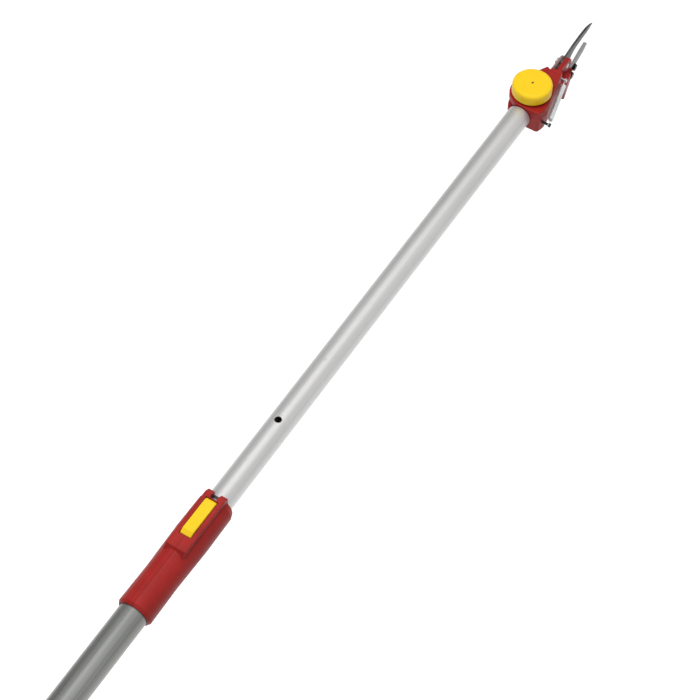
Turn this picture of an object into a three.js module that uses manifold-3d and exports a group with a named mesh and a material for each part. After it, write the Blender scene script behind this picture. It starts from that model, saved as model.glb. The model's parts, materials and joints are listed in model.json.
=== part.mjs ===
// A telescoping tree lopper: a two-part aluminium pole with a cutting head that swivels on its tip.
// Millimetres. +X runs along the pole towards the blades and +Z stands out of the face of the yellow knob.
// The origin is the middle of the pull handle's flat back, on the axis of the pole.
import * as THREE from 'three';
import { mergeVertices } from 'three/addons/utils/BufferGeometryUtils.js';
import Module from 'manifold-3d';

const wasm = await Module();
wasm.setup();

// ---------------------------------------------------------------- driving sizes
const GAP = 0.3; // left between neighbours that touch
const FIT = 0.05; // radial play of a running fit

const OUTER = { r: 20, wall: 1.5, start: 54.3, end: 1954 };
const INNER = { r: 17.5, wall: 1.6, start: 880, end: 2730 };
const TIP = INNER.end; // the head's own sizes are counted from the end of the inner tube
const TUBE_SIDES = 40;
const GRIP_SIDES = 32;

const PULL = { depth: 28, height: 32, span: 132, neckR: 8.5, neckEnd: 80 };
const BUTT = { flangeR: 24, flangeStart: 46, plugEnd: 84, boreR: 9.2 };
const STRAP = { half: 5, lowerY: -4, upperY: -11.5, pinX: 41 };

const GRIP = { start: 1775, end: 1960, r: 24.6, bore: 20.3, hump: 27.5, humpHalf: 15 };
const BUTTON = { start: 1888, end: 1946, half: 8.2, top: 29.4, bottom: 23.2, pivotX: 1917, pivotZ: 24.6 };
const SHOE = { start: 1891, end: 1901, half: 4.5, bottom: 17.7, top: 26 };
const STOP_HOLE = { x: TIP - 634, r: 5 };
const RIVET_X = TIP - 522;

const SWIVEL = { x: 33, plateR: 20, plateLow: 7, plateHigh: 10, neckHalf: 14, boltR: 4, limit: 120 };
const KNOB = { r: 29.5, bottom: 23.3, top: 40, wall: 3 };
const HOUSING = { bottom: -19, top: 20, seam: 8.7, lidEnd: 84, front: 97, drumR: 32, lobeBottom: -42 };
const PIVOT = { x: 132, z: -10.5, bossR: 11.5, boltR: 4 };
const TAIL = { x: 94, z: 2, half: 5.5 };
const LEVER = { x: 122, z: -35, half: 5.5 };
const BLADE = { low: -2.2, high: 1.2, edge: 0.4, noseStart: 202, noseEnd: 225 };
const HOOK = { low: -5.8, high: -2.5, edge: 0.6 };
const CHEEK = { low: 1.5, high: 5.6 };
const EAR = { low: -9.2, high: -2.5 };
const HOOK_BOLTS = [{ x: 138.5, z: -34, nut: -12.3 }, { x: 162, z: -41.5, nut: -6.1 }];
const SPRING = { r: 4, y: -24.4, rearX: 10, rearY: -43.4, rearZ: -3 };

// ---------------------------------------------------------------- finishes
function paint(color, roughness, metalness = 0) {
  return new THREE.MeshStandardMaterial({ color, roughness, metalness });
}

const FINISH = {
  aluminium: paint(0xc9c9c7, 0.35, 0.9),
  red: paint(0xb42a24, 0.38),
  yellow: paint(0xf5cf1e, 0.42),
  black: paint(0x26262a, 0.6),
  steel: paint(0xb9bcbe, 0.3, 1),
  bladeDark: paint(0x3f4244, 0.4, 0.8),
  bladeGrey: paint(0x9a9c9b, 0.35, 0.9),
  plate: paint(0x5a4b4c, 0.45, 0.8),
  strap: paint(0x202022, 0.9),
};

// ---------------------------------------------------------------- solids
const part = new THREE.Group();

function toSolid(geometry) {
  const bare = geometry.index ? geometry.toNonIndexed() : geometry.clone();
  bare.deleteAttribute('normal');
  bare.deleteAttribute('uv');
  const welded = mergeVertices(bare, 1e-4);
  const vertProperties = Float32Array.from(welded.attributes.position.array);
  const triVerts = Uint32Array.from(welded.index.array);
  return new wasm.Manifold(new wasm.Mesh({ numProp: 3, vertProperties, triVerts }));
}

function toGeometry(solid) {
  const mesh = solid.getMesh();
  const geometry = new THREE.BufferGeometry();
  geometry.setAttribute('position', new THREE.BufferAttribute(mesh.vertProperties, 3));
  geometry.setIndex(new THREE.BufferAttribute(mesh.triVerts, 1));
  geometry.computeVertexNormals();
  return geometry;
}

const join = (...solids) => solids.reduce((sum, next) => sum.add(next));
const cut = (body, ...tools) => tools.reduce((rest, tool) => rest.subtract(tool), body);

// Puts a finished solid into the part. The head's solids are drawn from the tube's end, so they move by TIP.
function add(name, solid, material, shiftX = 0) {
  const mesh = new THREE.Mesh(toGeometry(solid), material);
  mesh.name = name;
  mesh.position.x = shiftX;
  part.add(mesh);
}

function box(x0, x1, y0, y1, z0, z1) {
  const geometry = new THREE.BoxGeometry(x1 - x0, y1 - y0, z1 - z0);
  return toSolid(geometry.translate((x0 + x1) / 2, (y0 + y1) / 2, (z0 + z1) / 2));
}

function rod(axis, r, from, to, a, b, sides = 24) {
  const geometry = new THREE.CylinderGeometry(r, r, to - from, sides);
  const middle = (from + to) / 2;
  if (axis === 'x') geometry.rotateZ(-Math.PI / 2).translate(middle, a, b);
  if (axis === 'y') geometry.translate(a, middle, b);
  if (axis === 'z') geometry.rotateX(Math.PI / 2).translate(a, b, middle);
  return toSolid(geometry);
}

// A profile of [radius, height] points turned about the Y axis. It lists the section once round, either way.
function turned(profile, sides) {
  const points = profile.map(([r, height]) => new THREE.Vector2(r, height));
  if (THREE.ShapeUtils.area(points) < 0) points.reverse();
  const onAxis = points.findIndex((point, i) => point.x === 0 && points.at(i - 1).x === 0);
  if (onAxis >= 0) points.push(...points.splice(0, onAxis));
  else points.push(points[0].clone());
  return new THREE.LatheGeometry(points, sides);
}

// Turned about the axis of the pole, from [x, radius] points.
function turnedX(profile, sides = TUBE_SIDES) {
  return toSolid(turned(profile.map(([x, r]) => [r, x]), sides).rotateZ(-Math.PI / 2));
}

// Turned about the vertical line through (x, y), from [radius, z] points.
function turnedZ(profile, x, y, sides = TUBE_SIDES) {
  return toSolid(turned(profile, sides).rotateX(Math.PI / 2).translate(x, y, 0));
}

const tube = (x0, x1, outer, inner) => turnedX([[x0, inner], [x1, inner], [x1, outer], [x0, outer]]);

function shapeOf(points) {
  return new THREE.Shape(points.map(([a, b]) => new THREE.Vector2(a, b)));
}

// An outline given its thickness, with the edges of its two faces rounded.
function extruded(shape, thickness, round) {
  return new THREE.ExtrudeGeometry(shape, {
    depth: thickness - 2 * round,
    curveSegments: 7,
    bevelEnabled: round > 0,
    bevelSize: round,
    bevelThickness: round,
    bevelOffset: -round,
    bevelSegments: Math.ceil(round),
  });
}

// A plan outline of (x, y) points raised from z0 to z1.
function slab(shape, z0, z1, round = 0) {
  return toSolid(extruded(shape, z1 - z0, round).translate(0, 0, z0 + round));
}

// A side outline of (x, z) points given its thickness from y0 to y1.
function plate(shape, y0, y1, round = 0) {
  return toSolid(extruded(shape, y1 - y0, round).rotateX(Math.PI / 2).translate(0, y1 - round, 0));
}

// A bar with round ends between two points of a side outline.
function link(a, b, half) {
  const angle = Math.atan2(b.z - a.z, b.x - a.x);
  const shape = new THREE.Shape();
  shape.absarc(a.x, a.z, half, angle + Math.PI / 2, angle + 1.5 * Math.PI, false);
  shape.absarc(b.x, b.z, half, angle - Math.PI / 2, angle + Math.PI / 2, false);
  return shape;
}

function disc(x, z, r) {
  const shape = new THREE.Shape();
  shape.absarc(x, z, r, 0, 2 * Math.PI, false);
  return shape;
}

function smooth(points, steps = 14) {
  return new THREE.SplineCurve(points.map(([a, b]) => new THREE.Vector2(a, b))).getPoints(steps);
}

// Two smooth edges, each through its own points, closed into one outline.
function outlineOf(upper, lower) {
  return new THREE.Shape([...smooth(lower), ...smooth([...upper].reverse())]);
}

// The wedge of steel that grinding takes off along a cutting edge of (x, z) points, and a little past its tip.
// The edge keeps the steel from y = flat to y = thin, and the ground face meets y = face that width in from it.
// up is 1 where the blade lies above its edge, and -1 where it lies below.
function grindingWedge(sharp, { flat, thin, face, width, up }) {
  const tip = sharp.at(-1);
  const edge = [...sharp, tip.clone().add(tip.clone().sub(sharp.at(-2)).setLength(6))];
  const outward = Math.sign(face - flat);
  const rise = (face - thin) / width;
  const over = face + outward;
  const corners = [];
  edge.forEach((point, i) => {
    const along = edge[Math.min(i + 1, edge.length - 1)].clone().sub(edge[Math.max(i - 1, 0)]).normalize();
    const inward = new THREE.Vector2(-along.y, along.x).multiplyScalar(Math.sign(along.x) * up);
    const place = (depth, y) => [point.x + inward.x * depth, y, point.y + inward.y * depth];
    corners.push(place(-1, thin - rise), place((over - thin) / rise, over), place(-1, over));
  });
  const triangles = [[0, 1, 2]];
  for (let i = 0; i < edge.length - 1; i += 1) {
    for (let k = 0; k < 3; k += 1) {
      const [a, b] = [3 * i + k, 3 * i + ((k + 1) % 3)];
      triangles.push([b, a, a + 3], [b, a + 3, b + 3]);
    }
  }
  const last = 3 * (edge.length - 1);
  triangles.push([last + 2, last + 1, last]);
  const volume = triangles.reduce((sum, [a, b, c]) => {
    const [p, q, r] = [corners[a], corners[b], corners[c]].map((corner) => new THREE.Vector3(...corner));
    return sum + p.dot(q.cross(r));
  }, 0);
  const facing = volume > 0 ? triangles : triangles.map(([a, b, c]) => [a, c, b]);
  const geometry = new THREE.BufferGeometry();
  geometry.setAttribute('position', new THREE.Float32BufferAttribute(corners.flat(), 3));
  geometry.setIndex(facing.flat());
  return toSolid(geometry);
}

// A hexagonal bar along Y through (x, z), for nuts and for the sockets of bolts.
function hexBar(r, y0, y1, x, z) {
  const corners = [0, 1, 2, 3, 4, 5].map((i) => i * Math.PI / 3);
  const outline = shapeOf(corners.map((angle) => [x + r * Math.cos(angle), z + r * Math.sin(angle)]));
  return plate(outline, y0, y1);
}

// A cross recess for a screw that stands along Z, cut upwards from its head's face.
function crossRecess(x, y, face, depth) {
  return join(
    box(x - 2.4, x + 2.4, y - 0.5, y + 0.5, face - 1, face + depth),
    box(x - 0.5, x + 0.5, y - 2.4, y + 2.4, face - 1, face + depth),
  );
}

// ---------------------------------------------------------------- pole
function pole() {
  const outer = tube(OUTER.start, OUTER.end, OUTER.r, OUTER.r - OUTER.wall);
  const window = box(SHOE.start - 1, SHOE.end + 1, -SHOE.half - 1, SHOE.half + 1, 15, 21);
  add('outer_tube', cut(outer, window), FINISH.aluminium);

  const inner = tube(INNER.start, INNER.end, INNER.r, INNER.r - INNER.wall);
  const hole = rod('z', STOP_HOLE.r, 10, 20, STOP_HOLE.x, 0, 24);
  const rivetHole = rod('z', 2.5, 10, 20, RIVET_X, 0, 16);
  add('inner_tube', cut(inner, hole, rivetHole), FINISH.aluminium);

  const rivet = join(
    rod('z', 2.4, 14, 17.3, RIVET_X, 0, 16),
    rod('z', 4, 13.4, 15, RIVET_X, 0, 16),
  );
  add('tube_rivet', rivet, FINISH.steel);

  const bore = INNER.r - INNER.wall;
  const foot = turnedX([
    [INNER.start - 24, 13.6], [INNER.start + 24, 13.6], [INNER.start + 24, bore - GAP],
    [INNER.start - GAP, bore - GAP], [INNER.start - GAP, 18.2], [INNER.start - 24, 18.2],
  ]);
  add('inner_tube_foot', foot, FINISH.black);

  const mouth = tube(OUTER.end + GAP, OUTER.end + 4, OUTER.r, INNER.r + FIT * 2);
  add('mouth_bush', mouth, FINISH.black);

  const plugR = OUTER.r - OUTER.wall - GAP;
  const butt = turnedX([
    [BUTT.flangeStart, BUTT.boreR], [BUTT.plugEnd, BUTT.boreR], [BUTT.plugEnd, plugR],
    [OUTER.start - GAP, plugR], [OUTER.start - GAP, BUTT.flangeR - 1], [OUTER.start - 1.6, BUTT.flangeR],
    [BUTT.flangeStart + 2, BUTT.flangeR], [BUTT.flangeStart, BUTT.flangeR - 2],
  ]);
  add('butt_cap', butt, FINISH.black);
}

// ---------------------------------------------------------------- pull handle and straps
function pullHandle() {
  const half = PULL.height / 2;
  const side = new THREE.Shape();
  side.moveTo(0, -half + 7);
  side.absarc(7, -half + 7, 7, Math.PI, 1.5 * Math.PI, false);
  side.absarc(PULL.depth - half, 0, half, -Math.PI / 2, Math.PI / 2, false);
  side.absarc(7, half - 7, 7, Math.PI / 2, Math.PI, false);
  const bar = plate(side, -PULL.span / 2, PULL.span / 2, 4);
  const collar = rod('x', 13, 20, BUTT.flangeStart - GAP, 0, 0);
  const neck = rod('x', PULL.neckR, 20, PULL.neckEnd, 0, 0);
  const slot = box(34, PULL.neckEnd + 1, -6.2, -1.8, -6.2, 6.2);
  const pinHole = rod('y', 2.1, -14, 14, STRAP.pinX, 0, 16);
  add('pull_handle', cut(join(bar, collar, neck), slot, pinHole), FINISH.red);

  const strap = box(36, 1650, STRAP.lowerY - 0.5, STRAP.lowerY + 0.5, -STRAP.half, STRAP.half);
  add('pull_strap', cut(strap, rod('y', 2.1, -14, 14, STRAP.pinX, 0, 16)), FINISH.strap);
  add('strap_pin', rod('y', 2, -12.5, 12.5, STRAP.pinX, 0, 16), FINISH.steel);
}

function headStraps() {
  const y = STRAP.upperY;
  const upper = box(INNER.start + 40 - TIP, SWIVEL.x, y - 0.5, y + 0.5, -STRAP.half, STRAP.half);
  add('head_strap', upper, FINISH.strap, TIP);

  const start = { x: 76, z: -15 };
  const end = { x: 116.5, z: -32 };
  add('blade_strap', plate(link(start, end, 2.6), -8.6, -7.4), FINISH.strap, TIP);
}

// ---------------------------------------------------------------- grip and lock button
function gripShell(sign) {
  const ring = [
    [GRIP.start, GRIP.r - 2.6], [GRIP.start + 4, GRIP.r], [GRIP.start + 60, GRIP.r - 0.8],
    [GRIP.end - 60, GRIP.r + 0.6], [GRIP.end - 9, GRIP.r], [GRIP.end - 2, GRIP.r - 2.6],
    [GRIP.end - 2, 15], [GRIP.start, 15],
  ];
  const sleeve = turnedX(ring, GRIP_SIDES);
  const humpShape = shapeOf([
    [GRIP.start + 78, 12], [GRIP.start + 92, GRIP.hump], [GRIP.end - 7, GRIP.hump + 1], [GRIP.end, 24],
    [GRIP.end, 12],
  ]);
  const hump = plate(humpShape, -GRIP.humpHalf, GRIP.humpHalf, 1.2);
  const bore = rod('x', GRIP.bore, GRIP.start - 1, GRIP.end + 1, 0, 0, TUBE_SIDES);
  const well = box(BUTTON.start - 1, BUTTON.end + 1, -BUTTON.half - 0.8, BUTTON.half + 0.8, 16, 40);
  const notch = box(GRIP.end - 12, GRIP.end + 1, -5, 5, 16, 40);
  const keep = sign > 0 ? box(GRIP.start - 1, GRIP.end + 1, GAP / 2, 40, -40, 40)
    : box(GRIP.start - 1, GRIP.end + 1, -40, -GAP / 2, -40, 40);
  const places = gripScrewPlaces();
  const pads = places.map(({ x, z }) => slab(shapeOf([
    [x - 12, -6], [x - 8, -9], [x + 8, -9], [x + 12, -6], [x + 12, 6], [x + 8, 9], [x - 8, 9], [x - 12, 6],
  ]), z - 4.8, -18));
  const screws = places.map(({ x, z }) => rod('y', 2.2, -30, 8, x, z, 16));
  const heads = places.map(({ x, z }) => rod('y', 4.1, -30, -5.4, x, z, 16));
  const pin = rod('y', 1.6, -13.5, 13.5, BUTTON.pivotX, BUTTON.pivotZ, 16);
  return cut(join(sleeve, hump, ...pads), bore, well, notch, ...screws, ...heads, pin).intersect(keep);
}

function gripScrewPlaces() {
  return [
    { x: GRIP.start + 16, z: -25.2 },
    { x: GRIP.end - 24, z: -25.2 },
  ];
}

function grip() {
  add('grip_shell_left', gripShell(1), FINISH.red);
  add('grip_shell_right', gripShell(-1), FINISH.red);
  const { pivotX, pivotZ } = BUTTON;
  add('button_pin', rod('y', 1.5, -13.2, 13.2, pivotX, pivotZ, 16), FINISH.steel);

  const side = shapeOf([
    [BUTTON.start, BUTTON.bottom], [BUTTON.end, BUTTON.bottom], [BUTTON.end, BUTTON.top - 2],
    [BUTTON.end - 3, BUTTON.top], [BUTTON.start + 6, BUTTON.top + 0.6], [BUTTON.start, BUTTON.top - 2.6],
  ]);
  const cap = plate(side, -BUTTON.half, BUTTON.half, 0.8);
  const under = box(pivotX - 5, pivotX + 4, -5, 5, BUTTON.bottom + 1, BUTTON.top - 3);
  const pocket = box(SHOE.start - GAP, SHOE.end + GAP, -SHOE.half - GAP, SHOE.half + GAP, 20, SHOE.top + GAP);
  const button = cut(cap, under, pocket, rod('y', 1.5 + FIT, -9, 9, pivotX, pivotZ, 16));
  add('lock_button', button, FINISH.yellow);

  const { start, end, half, bottom, top } = SHOE;
  add('brake_shoe', box(start, end, -half, half, bottom, top), FINISH.black);

  const springX = BUTTON.end - 9;
  const coil = turnedZ([[1.6, OUTER.r + GAP], [3, OUTER.r + GAP], [3, BUTTON.bottom - GAP],
    [1.6, BUTTON.bottom - GAP]], springX, 0, 16);
  add('button_spring', coil, FINISH.steel);

  gripScrewPlaces().forEach(({ x, z }, index) => {
    const shank = rod('y', 2, -6, 7.5, x, z, 16);
    const cap = rod('y', 3.8, -8.4, -5.7, x, z, 16);
    add(`grip_screw_${index + 1}`, join(shank, cap), FINISH.steel);
  });
}

// ---------------------------------------------------------------- swivel joint
// From here on the sizes along X are counted from the end of the inner tube.
function swivelTongue() {
  const bore = INNER.r - INNER.wall - GAP;
  const spigot = turnedX([[-60, 13.4], [-GAP, 13.4], [-GAP, bore], [-60, bore]]);
  const neck = new THREE.Shape();
  const { x, plateR, plateLow, plateHigh, neckHalf } = SWIVEL;
  const edge = x - Math.sqrt(plateR ** 2 - neckHalf ** 2);
  neck.moveTo(-30, -11);
  neck.lineTo(-1.5, -11);
  neck.lineTo(3, -neckHalf);
  neck.lineTo(edge, -neckHalf);
  const start = Math.atan2(-neckHalf, edge - x);
  neck.absarc(x, 0, plateR, start, -start, false);
  neck.lineTo(3, neckHalf);
  neck.lineTo(-1.5, 11);
  neck.lineTo(-30, 11);
  const cheeks = [slab(neck, plateLow, plateHigh), slab(neck, -plateHigh, -plateLow)];
  const hub = rod('z', SWIVEL.boltR + FIT, -12, 12, x, 0);
  const crossPin = rod('z', 2.1, -17, 17, -45, 4, 16);
  add('swivel_tongue', cut(join(spigot, ...cheeks), hub, crossPin), FINISH.black, TIP);
  add('spigot_pin', rod('z', 2, -14.2, 14.2, -45, 4, 16), FINISH.steel, TIP);

  const wheel = turnedZ([
    [SWIVEL.boltR + FIT, -plateLow + GAP], [10.6, -plateLow + GAP], [10, 0], [10.6, plateLow - GAP],
    [SWIVEL.boltR + FIT, plateLow - GAP],
  ], x, 0);
  add('strap_pulley', wheel, FINISH.black, TIP);

  const { bottom } = HOUSING;
  const bolt = turnedZ([
    [0, bottom + 1], [7, bottom + 1], [7, bottom + 5], [SWIVEL.boltR, bottom + 5],
    [SWIVEL.boltR, KNOB.top - 6], [0, KNOB.top - 6],
  ], x, 0);
  add('swivel_bolt', bolt, FINISH.steel, TIP);

  const washer = turnedZ([
    [SWIVEL.boltR + GAP, HOUSING.top + GAP], [19, HOUSING.top + GAP], [19, KNOB.bottom - GAP],
    [SWIVEL.boltR + GAP, KNOB.bottom - GAP],
  ], x, 0);
  add('knob_washer', washer, FINISH.black, TIP);
}

function angleKnob() {
  const { r, bottom, top, wall } = KNOB;
  const knob = turnedZ([
    [SWIVEL.boltR + GAP, bottom], [9, bottom], [9, top - 5], [r - wall, top - 5], [r - wall, bottom],
    [r, bottom], [r, top - 5], [r - 0.7, top - 2.4], [r - 2.4, top - 0.7], [r - 5, top], [1.8, top],
    [1.8, top - 1.2], [0, top - 1.2], [0, top - 5.7], [SWIVEL.boltR + GAP, top - 5.7],
  ], SWIVEL.x, 0);
  add('angle_knob', knob, FINISH.yellow, TIP);
  add('knob_plug', rod('z', 1.5, top - 0.9, top - 0.2, SWIVEL.x, 0, 16), FINISH.black, TIP);
}

// ---------------------------------------------------------------- head housing
// Seen from above the housing is round behind the knob on the left, and has a square corner on the right.
function housingPlan() {
  const { x } = SWIVEL;
  const shape = new THREE.Shape();
  const { front, drumR } = HOUSING;
  shape.moveTo(1, 0);
  shape.lineTo(1, -27);
  shape.quadraticCurveTo(1.5, -30.5, 5, -31.5);
  shape.lineTo(13, -33.4);
  shape.lineTo(22, -33.8);
  shape.lineTo(front - 6, -19.5);
  shape.quadraticCurveTo(front, -18, front, -12);
  shape.lineTo(front, -6);
  shape.quadraticCurveTo(front, 3, front - 11, 7);
  const tangent = Math.atan2(7, front - 11 - x) + Math.acos(drumR / Math.hypot(7, front - 11 - x));
  shape.absarc(x, 0, drumR, tangent, Math.PI, false);
  return shape;
}

// The room that the tongue's neck sweeps through while the head swings from straight to its limit.
function neckSweep(low, high) {
  const { x, neckHalf, limit } = SWIVEL;
  const half = neckHalf + 0.8;
  const turn = THREE.MathUtils.degToRad(limit + 4);
  const pieces = [slab(disc(x, 0, SWIVEL.plateR + 0.8), low, high)];
  const fan = new THREE.Shape();
  fan.moveTo(x, 0);
  fan.lineTo(x - 80, 0);
  fan.lineTo(x - 80 * Math.cos(turn / 2), 80 * Math.sin(turn / 2));
  fan.lineTo(x - 80 * Math.cos(turn), 80 * Math.sin(turn));
  pieces.push(slab(fan, low, high));
  for (const angle of [0, -turn]) {
    const arm = new THREE.ExtrudeGeometry(shapeOf([[-80, -half], [0, -half], [0, half], [-80, half]]), {
      depth: high - low, bevelEnabled: false,
    });
    pieces.push(toSolid(arm.rotateZ(angle).translate(x, 0, low)));
  }
  return join(...pieces);
}

// The places that a point of the cutting blade passes while the blade closes.
function closingArc(point) {
  const places = [];
  for (let degrees = 0; degrees <= 42; degrees += 6) {
    const turn = THREE.MathUtils.degToRad(degrees);
    const x = point.x - PIVOT.x;
    const z = point.z - PIVOT.z;
    places.push({
      x: PIVOT.x + x * Math.cos(turn) + z * Math.sin(turn),
      z: PIVOT.z + z * Math.cos(turn) - x * Math.sin(turn),
    });
  }
  return places;
}

function lobePlan() {
  return shapeOf([
    [88, 8], [94, -24], [98, -25], [134, -15.5], [143, -12.8], [147, -10], [147, -6.6], [128, -6.6], [128, 8],
  ]);
}

// Seen from the side its right wall drops ahead of the pivot, so that the mouth of the hook stays open.
function lobeSide() {
  const { lobeBottom } = HOUSING;
  return shapeOf([
    [86, -16], [126, -16], [131, -26.5], [148, -28.5], [148, -38], [141, lobeBottom - 1], [100, lobeBottom - 1],
    [86, -34],
  ]);
}

function head() {
  const { bottom, top, seam, lidEnd, front, lobeBottom } = HOUSING;
  const { x, z, bossR } = PIVOT;
  const upper = slab(housingPlan(), seam - 5, top, 1.5);
  const block = join(
    slab(housingPlan(), bottom, seam),
    upper.intersect(box(lidEnd + GAP, front + 1, -60, 60, seam - 1, top + 1)),
    slab(lobePlan(), lobeBottom, bottom + 2).intersect(plate(lobeSide(), -40, 20)),
    plate(link({ x: front - 12, z }, PIVOT, bossR), EAR.low, EAR.high),
  );
  const slot = box(lidEnd + 3, 150, BLADE.low - GAP, BLADE.high + GAP, lobeBottom - 1, top + 1);
  const leverRoom = box(98, 128.5, -9.9, BLADE.high + GAP, lobeBottom - 1, -22.5);
  const pinRoom = closingArc(LEVER).map((spot) => rod('y', 3.3, -9.9, BLADE.high + GAP, spot.x, spot.z, 16));
  const strapRoom = plate(link({ x: 40, z: -4 }, { x: 118, z: -30 }, 6), -12.5, -6.8);
  const plateRoom = box(lidEnd + 4.5, 150, BLADE.low, 12, z + bossR + GAP, top + 1);
  const tailRoom = box(TAIL.x - 3.4, front + 1, -40, BLADE.low, TAIL.z - 3.4, top + 1);
  const cheek = link({ x: 100, z }, { x: x + 20, z }, bossR + GAP);
  const cheekRoom = plate(cheek, CHEEK.low - GAP, CHEEK.high + GAP);
  const hookRoom = box(126, 150, HOOK.low - GAP, BLADE.high + 9, lobeBottom - 1, -17.2);
  const bolts = [
    rod('y', PIVOT.boltR + FIT, -30, 30, x, z),
    rod('z', SWIVEL.boltR + GAP, bottom - 1, top + 1, SWIVEL.x, 0),
    rod('z', 7.4, bottom - 1, bottom + 5.4, SWIVEL.x, 0),
    rod('y', 2.6, -30, 0, HOOK_BOLTS[0].x, HOOK_BOLTS[0].z, 16),
    rod('y', 7, -30, HOOK_BOLTS[0].nut + GAP, HOOK_BOLTS[0].x, HOOK_BOLTS[0].z, 24),
    rod('y', 2.1, -50, -20, SPRING.rearX, SPRING.rearZ, 16),
  ];
  const lidScrews = lidScrewPlaces().map(([a, b]) => rod('z', 2.2, bottom - 1, top - 3, a, b, 16));
  const lidHeads = lidScrewPlaces().map(([a, b]) => rod('z', 4.4, bottom - 1, bottom + 4, a, b, 16));
  const neckRoom = neckSweep(-SWIVEL.plateHigh - 0.5, SWIVEL.plateHigh + 0.5);
  const rooms = [slot, leverRoom, ...pinRoom, strapRoom, plateRoom, tailRoom, cheekRoom, hookRoom, neckRoom];
  add('head_housing', cut(block, ...rooms, ...bolts, ...lidScrews, ...lidHeads), FINISH.red, TIP);

  const lid = upper.intersect(box(-5, lidEnd, -60, 60, seam + GAP, top + 1));
  const boltHole = rod('z', SWIVEL.boltR + GAP, 0, 30, SWIVEL.x, 0);
  add('housing_lid', cut(lid, neckRoom, boltHole, ...lidScrews), FINISH.red, TIP);

  lidScrewPlaces().forEach(([a, b], index) => {
    const shank = rod('z', 2, bottom + 3, top - 4, a, b, 16);
    const cap = rod('z', 4, bottom + 0.8, bottom + 3.6, a, b, 16);
    const screw = cut(join(shank, cap), crossRecess(a, b, bottom + 0.8, 1.2));
    add(`housing_screw_${index + 1}`, screw, FINISH.steel, TIP);
  });
}

function lidScrewPlaces() {
  return [[20, -30], [66, 13], [76, -16]];
}

function fork() {
  const outline = link({ x: 100, z: PIVOT.z }, PIVOT, PIVOT.bossR);
  add('fork_plate', cut(
    plate(outline, CHEEK.low, CHEEK.high, 0.8),
    rod('y', PIVOT.boltR + FIT, 0, 10, PIVOT.x, PIVOT.z),
  ), FINISH.plate, TIP);

  const bolt = join(
    rod('y', PIVOT.boltR, EAR.low + 0.2, CHEEK.high + 1, PIVOT.x, PIVOT.z),
    rod('y', 6.6, CHEEK.high + GAP, CHEEK.high + 2.6, PIVOT.x, PIVOT.z),
    rod('y', 5.2, CHEEK.high + 2.4, CHEEK.high + 4.6, PIVOT.x, PIVOT.z),
  );
  const socket = hexBar(2.6, CHEEK.high + 1.8, CHEEK.high + 6, PIVOT.x, PIVOT.z);
  add('pivot_bolt', cut(bolt, socket), FINISH.steel, TIP);
}

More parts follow.
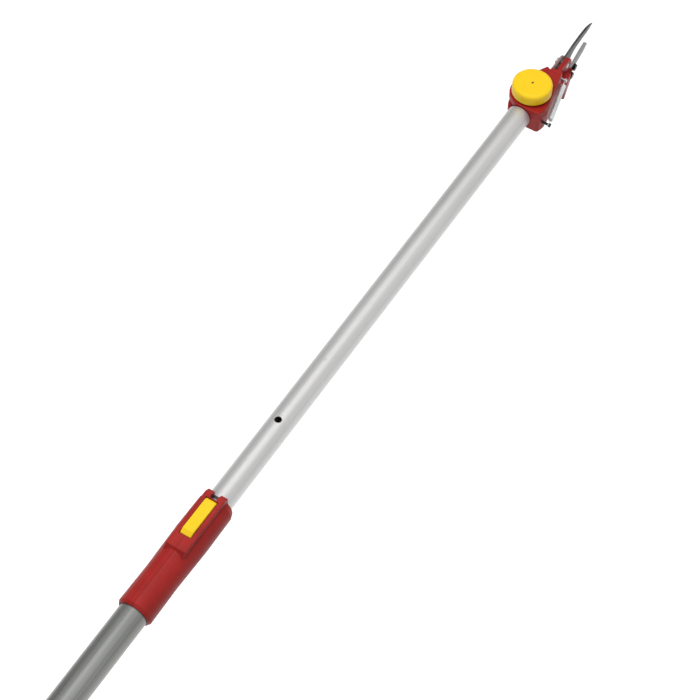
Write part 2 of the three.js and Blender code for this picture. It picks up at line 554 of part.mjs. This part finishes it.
// ---------------------------------------------------------------- blades and return spring
function blades() {
  const back = [
    [132, -1], [143.6, 0.6], [155, 2.8], [170, 4.2], [186, 4.8], [200, 4.4], [211, 2.4], [219, -0.6],
    [223.8, -3.6],
  ];
  const edge = [
    [134, -21], [145, -20.4], [153, -17.5], [159, -12.2], [168.8, -7.8], [184, -6], [200, -4.8], [213, -5.2],
    [223.6, -4.8],
  ];
  const grinding = { flat: BLADE.low, thin: BLADE.low + BLADE.edge, face: BLADE.high, width: 5.4, up: 1 };
  const { low, high, noseStart, noseEnd } = BLADE;
  const middle = (low + high) / 2;
  const nose = slab(shapeOf([
    [PIVOT.x - 10, low - 1], [noseStart, low], [noseEnd, middle - 0.3], [noseEnd, middle + 0.3],
    [noseStart, high], [PIVOT.x - 10, high + 1],
  ]), -40, 20);
  const blank = cut(
    plate(outlineOf(back, edge), low, high).intersect(nose),
    grindingWedge(smooth(edge).slice(5), grinding),
  );
  const cutter = join(
    blank,
    plate(disc(PIVOT.x, PIVOT.z, PIVOT.bossR - 0.5), BLADE.low, BLADE.high),
    plate(link(PIVOT, TAIL, TAIL.half), BLADE.low, BLADE.high),
    plate(link(PIVOT, LEVER, LEVER.half), BLADE.low, BLADE.high),
  );
  const holes = [
    rod('y', PIVOT.boltR + FIT, -10, 10, PIVOT.x, PIVOT.z),
    rod('y', 2.1, -10, 10, TAIL.x, TAIL.z, 16),
    rod('y', 2.6, -10, 10, LEVER.x, LEVER.z, 16),
  ];
  add('cutting_blade', cut(cutter, ...holes), FINISH.bladeDark, TIP);
  add('spring_pin', join(
    rod('y', 2, -25.6, BLADE.high, TAIL.x, TAIL.z, 16),
    rod('y', 2.8, -26.6, -25.5, TAIL.x, TAIL.z, 16),
  ), FINISH.steel, TIP);
  add('lever_pin', rod('y', 2.5, -9.4, BLADE.high, LEVER.x, LEVER.z, 16), FINISH.steel, TIP);

  const throat = [
    [130, -27], [136, -26.6], [143, -30], [150, -32.6], [157, -32.6], [164.6, -30], [171, -27.4], [181, -23.4],
    [189, -21], [196, -19.4],
  ];
  const belly = [
    [130, -27.4], [130.4, -37], [137, -45.5], [151, -49], [165, -44], [172, -41.2], [180, -38.4], [190, -34.4],
    [197.5, -30], [201.6, -25.4],
  ];
  const hook = cut(
    plate(outlineOf(throat, belly), HOOK.low, HOOK.high),
    grindingWedge(smooth(throat).slice(4), {
      flat: HOOK.high, thin: HOOK.high - HOOK.edge, face: HOOK.low, width: 4, up: -1,
    }),
    ...HOOK_BOLTS.map((bolt) => rod('y', 2.6, -10, 0, bolt.x, bolt.z, 16)),
  );
  add('hook_blade', hook, FINISH.bladeGrey, TIP);

  HOOK_BOLTS.forEach(({ x, z, nut }, index) => {
    const shank = rod('y', 2.5, nut - 5, HOOK.high + 0.2, x, z, 16);
    const cap = rod('y', 4.6, HOOK.high + 0.1, HOOK.high + 2.2, x, z);
    const socket = hexBar(2, HOOK.high + 0.8, HOOK.high + 3, x, z);
    add(`hook_bolt_${index + 1}`, cut(join(shank, cap), socket), FINISH.steel, TIP);
    const body = join(hexBar(5.6, nut - 3.8, nut - 0.7, x, z), rod('y', 5.9, nut - 0.9, nut, x, z));
    const thread = rod('y', 2.5 + FIT, nut - 10, nut + 10, x, z, 16);
    add(`hook_nut_${index + 1}`, cut(body, thread), FINISH.black, TIP);
  });
}

function returnSpring() {
  const front = new THREE.Vector3(TAIL.x, SPRING.y, TAIL.z);
  const rear = new THREE.Vector3(SPRING.rearX, SPRING.rearY, SPRING.rearZ);
  const along = front.clone().sub(rear).normalize();
  const reach = front.distanceTo(rear);
  const body = new THREE.CylinderGeometry(SPRING.r, SPRING.r, reach - 18, 16);
  const turn = new THREE.Quaternion().setFromUnitVectors(new THREE.Vector3(0, 1, 0), along);
  const middle = rear.clone().addScaledVector(along, reach / 2);
  body.applyQuaternion(turn).translate(middle.x, middle.y, middle.z);
  const arm = (from, to) => {
    const wire = new THREE.CylinderGeometry(0.8, 0.8, to - from, 10);
    const place = rear.clone().addScaledVector(along, (from + to) / 2);
    return toSolid(wire.applyQuaternion(turn).translate(place.x, place.y, place.z));
  };
  add('return_spring', join(toSolid(body), arm(4.2, 9.5)), FINISH.steel, TIP);
  add('spring_hook', arm(reach - 9 + GAP, reach - 5.2), FINISH.steel, TIP);

  const { rearX, rearZ } = SPRING;
  add('spring_screw', join(
    rod('y', 2, -45, -26, rearX, rearZ, 16),
    rod('y', 3.2, -46.4, -44.8, rearX, rearZ, 16),
  ), FINISH.black, TIP);
}

pole();
pullHandle();
headStraps();
grip();
swivelTongue();
angleKnob();
head();
fork();
blades();
returnSpring();

export default part;
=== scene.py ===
"""Looks of a telescoping pole lopper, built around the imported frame.

Metres, with +X towards the blades and +Z up.
"""
import json
import math

import bpy
from mathutils import Matrix, Vector


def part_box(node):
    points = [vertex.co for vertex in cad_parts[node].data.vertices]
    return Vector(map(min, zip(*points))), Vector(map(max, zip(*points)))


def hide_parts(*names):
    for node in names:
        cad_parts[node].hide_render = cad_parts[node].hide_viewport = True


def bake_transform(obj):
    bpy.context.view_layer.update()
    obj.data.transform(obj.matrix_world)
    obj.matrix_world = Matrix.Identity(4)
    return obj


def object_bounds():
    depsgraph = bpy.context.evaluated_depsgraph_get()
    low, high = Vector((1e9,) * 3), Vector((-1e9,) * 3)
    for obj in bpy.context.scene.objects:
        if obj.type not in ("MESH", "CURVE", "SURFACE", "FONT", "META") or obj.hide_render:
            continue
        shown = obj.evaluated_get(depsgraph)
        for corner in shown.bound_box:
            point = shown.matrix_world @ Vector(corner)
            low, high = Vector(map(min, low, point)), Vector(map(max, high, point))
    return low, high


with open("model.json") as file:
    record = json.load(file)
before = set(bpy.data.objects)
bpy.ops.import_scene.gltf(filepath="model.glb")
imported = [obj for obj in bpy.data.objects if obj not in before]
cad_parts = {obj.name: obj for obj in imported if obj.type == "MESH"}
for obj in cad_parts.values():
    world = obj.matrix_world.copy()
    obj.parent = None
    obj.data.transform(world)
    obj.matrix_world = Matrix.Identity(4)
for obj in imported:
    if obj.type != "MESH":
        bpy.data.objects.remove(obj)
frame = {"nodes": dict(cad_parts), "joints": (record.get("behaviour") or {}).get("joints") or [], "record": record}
cad_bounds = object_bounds()
scene = bpy.context.scene
MM = 0.001
# X of the inner tube's front end. The camera and the lights are placed from it.
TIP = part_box("inner_tube")[1].x
# Sockets of a Mix node that mixes colours.
MIX_FIRST, MIX_SECOND, MIX_RESULT = 6, 7, 2

# ---------------------------------------------------------------- camera
CAMERA_TARGET = Vector((TIP - 0.4816, -0.0138, 0))
CAMERA_BACK = Vector((-0.483, -0.293, 0.826))
CAMERA_UP = Vector((0.694, 0.447, 0.564))
CAMERA_DISTANCE = 2.667
CAMERA_LENS_MM = 102.86
CAMERA_SENSOR_MM = 36
CAMERA_CLIP_END = 50


def make_camera():
    data = bpy.data.cameras.new("camera")
    data.lens = CAMERA_LENS_MM
    data.sensor_width = CAMERA_SENSOR_MM
    data.clip_end = CAMERA_CLIP_END
    camera = bpy.data.objects.new("camera", data)
    back = CAMERA_BACK.normalized()
    right = CAMERA_UP.cross(back).normalized()
    up = back.cross(right)
    place = Matrix((right, up, back)).transposed().to_4x4()
    place.translation = CAMERA_TARGET + back * CAMERA_DISTANCE
    camera.matrix_world = place
    scene.collection.objects.link(camera)
    scene.camera = camera


# ---------------------------------------------------------------- studio
FLOOR_BELOW = 0.75
FLOOR_HALF = 60
FLOOR_TONE = (0.93, 0.93, 0.93)
FLOOR_DARK = (0.92, 0.92, 0.92)
FLOOR_BRIGHT = (0.95, 0.95, 0.95)
FLOOR_ROUGHNESS = 0.9
FLOOR_GLOW = 0.12
# How bright the room is at each angle about the pole, in degrees: 0 is overhead,
# 90 is the left side and -90 the right side.
WORLD_STOPS = [
    (-180, 0.30), (-115, 0.32), (-75, 0.70), (-25, 0.86), (12, 0.62),
    (34, 0.40), (50, 0.32), (75, 0.32), (120, 0.30), (180, 0.30),
]
# Towards the two ends of the pole the room fades to one even level.
WORLD_EVEN_POWER = 6
WORLD_EVEN_LEVEL = 0.5
# name: place and target, with X from TIP, then width and height, then watts.
LIGHTS = {
    "overhead": ((-0.6, 0.15, 1.9), (-0.6, 0, 0), (3.5, 1.6), 14),
    "key": ((-0.45, 0.45, 1.8), (-0.55, 0, 0), (1.6, 1.0), 34),
    "left_fill": ((0.2, 2.2, 1.0), (-0.4, 0, 0), (2.5, 1.5), 1.6),
}
# Lights that brighten surfaces without showing as a highlight on them.
LIGHTS_WITHOUT_HIGHLIGHT = {"key"}


def make_floor():
    middle = ((cad_bounds[0] + cad_bounds[1]) / 2).x
    corners = [(-1, -1), (1, -1), (1, 1), (-1, 1)]
    mesh = bpy.data.meshes.new("floor")
    mesh.from_pydata(
        [(middle + a * FLOOR_HALF, b * FLOOR_HALF, -FLOOR_BELOW) for a, b in corners],
        [], [(0, 1, 2, 3)])
    floor = bpy.data.objects.new("floor", mesh)
    scene.collection.objects.link(floor)
    paper = Shader("floor_paper", FLOOR_TONE, FLOOR_ROUGHNESS)
    paper.color_between(paper.noise(scale=3, detail=3), FLOOR_DARK, FLOOR_BRIGHT)
    paper.set("Emission Color", (1, 1, 1, 1))
    paper.set("Emission Strength", FLOOR_GLOW)
    floor.data.materials.append(paper.material)


def make_lights():
    from_tip = Vector((TIP, 0, 0))
    for name, (place, target, size, watts) in LIGHTS.items():
        data = bpy.data.lights.new(name, "AREA")
        data.shape = "RECTANGLE"
        data.size, data.size_y = size
        data.energy = watts
        light = bpy.data.objects.new(name, data)
        light.location = from_tip + Vector(place)
        away = Vector(target) - Vector(place)
        light.rotation_euler = away.to_track_quat("-Z", "Y").to_euler()
        light.visible_glossy = name not in LIGHTS_WITHOUT_HIGHLIGHT
        scene.collection.objects.link(light)


def level_about_pole(tree, direction):
    """How bright the room is in a direction, by its angle about the pole."""
    angle = tree.nodes.new("ShaderNodeMath")
    angle.operation = "ARCTAN2"
    tree.links.new(direction.outputs["Y"], angle.inputs[0])
    tree.links.new(direction.outputs["Z"], angle.inputs[1])
    share = tree.nodes.new("ShaderNodeMapRange")
    share.inputs["From Min"].default_value = -math.pi
    share.inputs["From Max"].default_value = math.pi
    tree.links.new(angle.outputs[0], share.inputs["Value"])
    ramp = tree.nodes.new("ShaderNodeValToRGB")
    tree.links.new(share.outputs[0], ramp.inputs[0])
    elements = ramp.color_ramp.elements
    while len(elements) < len(WORLD_STOPS):
        elements.new(0.5)
    for element, (degrees, level) in zip(elements, WORLD_STOPS):
        element.position = (degrees + 180) / 360
        element.color = (level, level, level, 1)
    return ramp.outputs[0]


def share_along_pole(tree, direction):
    """How nearly a direction runs along the pole, from 0 to 1."""
    along = tree.nodes.new("ShaderNodeMath")
    along.operation = "ABSOLUTE"
    tree.links.new(direction.outputs["X"], along.inputs[0])
    share = tree.nodes.new("ShaderNodeMath")
    share.operation = "POWER"
    share.inputs[1].default_value = WORLD_EVEN_POWER
    tree.links.new(along.outputs[0], share.inputs[0])
    return share.outputs[0]


def make_world():
    world = bpy.data.worlds.new("studio")
    scene.world = world
    world.use_nodes = True
    tree = world.node_tree
    place = tree.nodes.new("ShaderNodeTexCoord")
    direction = tree.nodes.new("ShaderNodeSeparateXYZ")
    tree.links.new(place.outputs["Generated"], direction.inputs[0])
    mix = tree.nodes.new("ShaderNodeMix")
    mix.data_type = "RGBA"
    even = WORLD_EVEN_LEVEL
    mix.inputs[MIX_SECOND].default_value = (even, even, even, 1)
    tree.links.new(share_along_pole(tree, direction), mix.inputs["Factor"])
    tree.links.new(level_about_pole(tree, direction), mix.inputs[MIX_FIRST])
    background = tree.nodes["Background"]
    tree.links.new(mix.outputs[MIX_RESULT], background.inputs["Color"])
    background.inputs["Strength"].default_value = 1.0


# ---------------------------------------------------------------- materials
NOISE_ROUGHNESS = 0.55


class Shader:
    """A Principled material with short calls for the nodes that feed it."""

    def __init__(self, name, color, roughness, metallic=0.0, **constants):
        self.material = bpy.data.materials.new(name)
        self.material.use_nodes = True
        self.tree = self.material.node_tree
        self.bsdf = self.tree.nodes["Principled BSDF"]
        self.set("Base Color", (*color, 1))
        self.set("Roughness", roughness)
        self.set("Metallic", metallic)
        for socket, value in constants.items():
            self.set(socket.replace("_", " "), value)
        self.place = self.node("ShaderNodeTexCoord").outputs["Object"]

    def set(self, socket, value):
        self.bsdf.inputs[socket].default_value = value

    def node(self, kind, **fields):
        made = self.tree.nodes.new(kind)
        for field, value in fields.items():
            setattr(made, field, value)
        return made

    def link(self, source, target):
        self.tree.links.new(source, target)

    def stretched(self, scale, turn):
        mapping = self.node("ShaderNodeMapping")
        mapping.inputs["Scale"].default_value = scale
        mapping.inputs["Rotation"].default_value = turn
        self.link(self.place, mapping.inputs["Vector"])
        return mapping.outputs[0]

    def noise(self, scale=1, detail=3, stretch=None, turn=(0, 0, 0)):
        made = self.node("ShaderNodeTexNoise")
        made.inputs["Scale"].default_value = scale
        made.inputs["Detail"].default_value = detail
        made.inputs["Roughness"].default_value = NOISE_ROUGHNESS
        place = self.stretched(stretch, turn) if stretch else self.place
        self.link(place, made.inputs["Vector"])
        return made.outputs["Fac"]

    def waves(self, scale, direction):
        made = self.node("ShaderNodeTexWave", bands_direction=direction)
        made.inputs["Scale"].default_value = scale
        self.link(self.place, made.inputs["Vector"])
        return made.outputs["Fac"]

    def math(self, operation, first, second):
        made = self.node("ShaderNodeMath", operation=operation)
        for socket, value in zip(made.inputs, (first, second)):
            if isinstance(value, (int, float)):
                socket.default_value = value
            else:
                self.link(value, socket)
        return made.outputs[0]

    def ranged(self, source, low, high, from_low=0.3, from_high=0.7):
        made = self.node("ShaderNodeMapRange")
        made.inputs["From Min"].default_value = from_low
        made.inputs["From Max"].default_value = from_high
        made.inputs["To Min"].default_value = low
        made.inputs["To Max"].default_value = high
        self.link(source, made.inputs["Value"])
        return made.outputs[0]

    def mixed(self, factor, first, second):
        made = self.node("ShaderNodeMix", data_type="RGBA")
        self.link(factor, made.inputs["Factor"])
        for index, value in ((MIX_FIRST, first), (MIX_SECOND, second)):
            if isinstance(value, tuple):
                made.inputs[index].default_value = (*value, 1)
            else:
                self.link(value, made.inputs[index])
        return made.outputs[MIX_RESULT]

    def color_between(self, factor, first, second):
        self.link(self.mixed(factor, first, second), self.bsdf.inputs["Base Color"])

    def roughness_between(self, source, low, high):
        self.link(self.ranged(source, low, high), self.bsdf.inputs["Roughness"])

    def bump(self, height, strength, distance):
        made = self.node("ShaderNodeBump")
        made.inputs["Strength"].default_value = strength
        made.inputs["Distance"].default_value = distance
        self.link(height, made.inputs["Height"])
        self.link(made.outputs[0], self.bsdf.inputs["Normal"])


def scaled(color, factor):
    return tuple(channel * factor for channel in color)


TUBE_METAL = 0.85
# How often the tube's patterns repeat in a metre, along it and across it twice.
TUBE_LINES = (1.2, 420, 420)
TUBE_FINE_LINES = (9, 1500, 1500)
TUBE_STAINS = (2.5, 26, 26)
TUBE_LINES_SHARE = 0.6


def drawn_tube(name, dark, bright, rough, turn):
    """Aluminium tube with the fine lines along it that drawing leaves, and long faint stains.

    The turn about the tube gives each tube lines of its own.
    """
    shader = Shader(name, bright, rough, TUBE_METAL)
    lines = shader.noise(detail=5, stretch=TUBE_LINES, turn=(turn, 0, 0))
    fine = shader.noise(detail=2, stretch=TUBE_FINE_LINES, turn=(turn, 0, 0))
    stains = shader.noise(detail=3, stretch=TUBE_STAINS)
    both = shader.math("ADD", shader.math("MULTIPLY", lines, TUBE_LINES_SHARE),
                       shader.math("MULTIPLY", stains, 1 - TUBE_LINES_SHARE))
    shader.color_between(shader.ranged(both, 0, 1, 0.35, 0.65), dark, bright)
    shader.roughness_between(both, rough - 0.05, rough + 0.08)
    shader.bump(shader.math("ADD", lines, fine), strength=0.12, distance=0.2 * MM)
    return shader.material


def moulded(name, color, roughness, grain=900, variation=0.12, specular=0.5):
    """Moulded plastic: spark-eroded grain, slightly uneven tone, and rubbed areas that shine more."""
    shader = Shader(name, color, roughness, Specular_IOR_Level=specular)
    tone = shader.ranged(shader.noise(scale=38, detail=4), 0, 1)
    shader.color_between(tone, scaled(color, 1 - variation), scaled(color, 1 + variation * 0.7))
    rubbed = shader.noise(scale=14, detail=3)
    shader.roughness_between(rubbed, roughness - 0.07, roughness + 0.07)
    shader.bump(shader.noise(scale=grain, detail=2), strength=0.25, distance=0.2 * MM)
    return shader.material


PLATED_LINES = (900, 300, 900)


def plated(name, color, roughness, metallic=1.0):
    """Turned and plated steel: fine lines and a cloudy tone."""
    shader = Shader(name, color, roughness, metallic)
    cloud = shader.ranged(shader.noise(scale=60, detail=4), 0, 1)
    shader.color_between(cloud, scaled(color, 0.78), color)
    blotches = shader.noise(scale=170, detail=3)
    shader.roughness_between(blotches, roughness - 0.06, roughness + 0.12)
    lines = shader.noise(detail=2, stretch=PLATED_LINES)
    shader.bump(lines, strength=0.1, distance=0.2 * MM)
    return shader.material


BLADE_METAL = 0.9
GRIND_MARKS = (1400, 60, 240)
# A blade's ground faces are those whose normal has a Y part between these two.
GROUND_LEAST = 0.5
GROUND_MOST = 0.985


def blade_steel(name, body, ground, roughness):
    """Blade: a darker body, and bright ground faces where the surface leans out of its plane."""
    shader = Shader(name, body, roughness, BLADE_METAL)
    normal = shader.node("ShaderNodeTexCoord").outputs["Normal"]
    parts = shader.node("ShaderNodeSeparateXYZ")
    shader.link(normal, parts.inputs[0])
    side = shader.math("ABSOLUTE", parts.outputs["Y"], 0)
    leans_enough = shader.math("LESS_THAN", side, GROUND_MOST)
    faces_aside = shader.math("GREATER_THAN", side, GROUND_LEAST)
    is_ground = shader.math("MULTIPLY", leans_enough, faces_aside)
    grind = shader.noise(detail=3, stretch=GRIND_MARKS)
    smears = shader.noise(scale=30, detail=4)
    coat = shader.mixed(shader.ranged(smears, 0, 1), scaled(body, 0.75), scaled(body, 1.2))
    bright = shader.mixed(shader.ranged(grind, 0, 1), scaled(ground, 0.8), ground)
    shader.color_between(is_ground, coat, bright)
    shader.roughness_between(smears, roughness - 0.06, roughness + 0.1)
    shader.bump(grind, strength=0.12, distance=0.1 * MM)
    return shader.material


WEAVE_SCALE = 900


def webbing(name, color):
    """Flat woven strap: a plain weave of crossing waves."""
    shader = Shader(name, color, roughness=0.85)
    warp = shader.waves(WEAVE_SCALE, "X")
    weft = shader.waves(WEAVE_SCALE, "Z")
    weave = shader.math("MULTIPLY", warp, weft)
    shader.color_between(weave, scaled(color, 0.5), scaled(color, 1.8))
    shader.bump(weave, strength=0.6, distance=0.4 * MM)
    return shader.material


RED = (0.235, 0.0105, 0.0085)
YELLOW = (0.63, 0.415, 0.004)
# Each node takes the material of its own name, or else the one of its slot in the record.
MATERIALS = {
    "inner_tube": drawn_tube("alu_upper", (0.60, 0.595, 0.59), (0.70, 0.695, 0.69), 0.44, 0.3),
    # The outer tube's darker colours are partly its own and partly painted shade and painted reflection.
    "outer_tube": drawn_tube("alu_lower", (0.19, 0.195, 0.185), (0.34, 0.345, 0.335), 0.30, 1.1),
    "red": moulded("red_plastic", RED, 0.42, specular=0.2),
    "yellow": moulded("yellow_plastic", YELLOW, 0.40, variation=0.04, specular=0.28),
    "black": moulded("black_plastic", (0.022, 0.022, 0.024), 0.5),
    "rubber": moulded("rubber", (0.02, 0.02, 0.02), 0.8, grain=500),
    "steel": plated("zinc_steel", (0.62, 0.62, 0.63), 0.28),
    "spring_steel": plated("spring_wire", (0.80, 0.83, 0.83), 0.42, 0.6),
    "black_steel": plated("black_steel", (0.04, 0.04, 0.045), 0.4),
    "plate": moulded("fork_moulding", (0.19, 0.105, 0.105), 0.42),
    "blade_dark": blade_steel("coated_blade", (0.085, 0.088, 0.085), (0.62, 0.62, 0.62), 0.34),
    "blade_grey": blade_steel("bare_blade", (0.22, 0.22, 0.215), (0.42, 0.42, 0.42), 0.32),
    "strap": webbing("webbing", (0.03, 0.03, 0.032)),
}
# Width in mm of the rounding on a node's edges.
BEVELS = {
    "head_housing": 0.9, "housing_lid": 0.5, "grip_shell_left": 1.0, "grip_shell_right": 1.0,
    "lock_button": 0.5, "pull_handle": 0.8, "butt_cap": 0.5, "fork_plate": 0.4,
    "hook_nut_1": 0.4, "hook_nut_2": 0.4, "swivel_tongue": 0.4, "angle_knob": 0.5,
}
BEVEL_SEGMENTS = 2
BEVEL_ANGLE = math.radians(34)
SMOOTH_ANGLE = math.radians(32)


def round_edges(node, width):
    bevel = node.modifiers.new("edge", "BEVEL")
    bevel.width = width
    bevel.segments = BEVEL_SEGMENTS
    bevel.limit_method = "ANGLE"
    bevel.angle_limit = BEVEL_ANGLE
    bevel.harden_normals = True
    bevel.use_clamp_overlap = True


def finish_cad_nodes():
    slots = {row["node"]: row["material_slot"] for row in frame["record"]["subparts"]}
    for name, node in frame["nodes"].items():
        node.data.materials.clear()
        node.data.materials.append(MATERIALS.get(name) or MATERIALS[slots[name]])
        node.data.shade_smooth()
        node.data.set_sharp_from_angle(angle=SMOOTH_ANGLE)
        if name in BEVELS:
            round_edges(node, BEVELS[name] * MM)


# ---------------------------------------------------------------- coil springs
WIRE_SIDES = 6
STEPS_PER_TURN = 12
EYE_STEPS = 16
# Share of a full turn that an eye goes round its pin.
EYE_TURN = 0.93

SPRING_WIRE = 0.58 * MM
SPRING_RADIUS = 3.45 * MM
SPRING_PITCH = 1.24 * MM
SPRING_ENDS = 9 * MM
EYE_RADIUS = 2.9 * MM
SCREW_AXIS = Vector((0, 1, 0))

BUTTON_SPRING_WIRE = 0.25 * MM
BUTTON_SPRING_RADIUS = 2.5 * MM
BUTTON_SPRING_TURNS = 3
BUTTON_SPRING_LEAD = 0.05
BUTTON_SPRING_GAP = 0.3 * MM


def sweep(name, points, radius):
    """A closed round wire along a list of points. Its section is carried along without twist."""
    directions = []
    for i in range(len(points)):
        ahead = points[min(i + 1, len(points) - 1)]
        behind = points[max(i - 1, 0)]
        directions.append((ahead - behind).normalized())
    side = directions[0].orthogonal().normalized()
    vertices, faces = [], []
    for point, direction in zip(points, directions):
        side = (side - direction * side.dot(direction)).normalized()
        across = direction.cross(side)
        for k in range(WIRE_SIDES):
            angle = 2 * math.pi * k / WIRE_SIDES
            vertices.append(point + (side * math.cos(angle) + across * math.sin(angle)) * radius)
    for ring in range(len(points) - 1):
        for k in range(WIRE_SIDES):
            a = ring * WIRE_SIDES + k
            b = ring * WIRE_SIDES + (k + 1) % WIRE_SIDES
            faces.append((a, b, b + WIRE_SIDES, a + WIRE_SIDES))
    last = (len(points) - 1) * WIRE_SIDES
    faces.append(tuple(reversed(range(WIRE_SIDES))))
    faces.append(tuple(range(last, last + WIRE_SIDES)))
    mesh = bpy.data.meshes.new(name)
    mesh.from_pydata(vertices, [], faces)
    mesh.shade_smooth()
    piece = bpy.data.objects.new(name, mesh)
    scene.collection.objects.link(piece)
    return piece


def helix(start, along, length, radius, turns, lead=0.5):
    """Points of a coil on the line from start, which opens from it and closes to it over lead turns."""
    side = along.orthogonal().normalized()
    across = along.cross(side)
    steps = int(turns * STEPS_PER_TURN)
    points = []
    for i in range(steps + 1):
        done = i / steps * turns
        open_share = min(1, done / lead, (turns - done) / lead)
        angle = 2 * math.pi * done
        out = (side * math.cos(angle) + across * math.sin(angle)) * radius * open_share
        points.append(start + along * (length * i / steps) + out)
    return points


def eye(center, toward, normal, radius):
    """An open ring about a pin, from the side that faces the coil nearly all the way round."""
    across = normal.cross(toward).normalized()
    flat = across.cross(normal).normalized()
    points = []
    for i in range(EYE_STEPS + 1):
        angle = 2 * math.pi * EYE_TURN * i / EYE_STEPS
        points.append(center + (flat * math.cos(angle) + across * math.sin(angle)) * radius)
    return points


def make_return_spring():
    joints = {joint["name"]: joint for joint in frame["joints"]}
    rear = Vector(joints["spring_turn"]["pos_m"])
    along = Vector(joints["spring_stretch"]["axis"]).normalized()
    pin_low, pin_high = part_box("spring_pin")
    reach = ((pin_low + pin_high).x / 2 - rear.x) / along.x
    front = rear + along * reach
    coil_rear = rear + along * SPRING_ENDS
    length = reach - 2 * SPRING_ENDS
    points = list(reversed(eye(rear, along, SCREW_AXIS, EYE_RADIUS)))
    points += helix(coil_rear, along, length, SPRING_RADIUS, length / SPRING_PITCH)
    points += eye(front, -along, SCREW_AXIS, EYE_RADIUS)
    spring = sweep("return_spring_coil", points, SPRING_WIRE)
    spring.data.materials.append(MATERIALS["spring_steel"])
    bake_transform(spring)
    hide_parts("return_spring", "spring_hook")


def make_button_spring():
    low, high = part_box("button_spring")
    start = Vector(((low.x + high.x) / 2, (low.y + high.y) / 2, low.z + BUTTON_SPRING_GAP))
    height = high.z - low.z - 2 * BUTTON_SPRING_GAP
    up = Vector((0, 0, 1))
    points = helix(start, up, height, BUTTON_SPRING_RADIUS, BUTTON_SPRING_TURNS,
                   BUTTON_SPRING_LEAD)
    spring = sweep("button_spring_coil", points, BUTTON_SPRING_WIRE)
    spring.data.materials.append(MATERIALS["spring_steel"])
    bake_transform(spring)
    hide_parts("button_spring")


make_camera()
finish_cad_nodes()
make_return_spring()
make_button_spring()
make_world()
make_floor()
make_lights()
scene.view_settings.view_transform = "Standard"
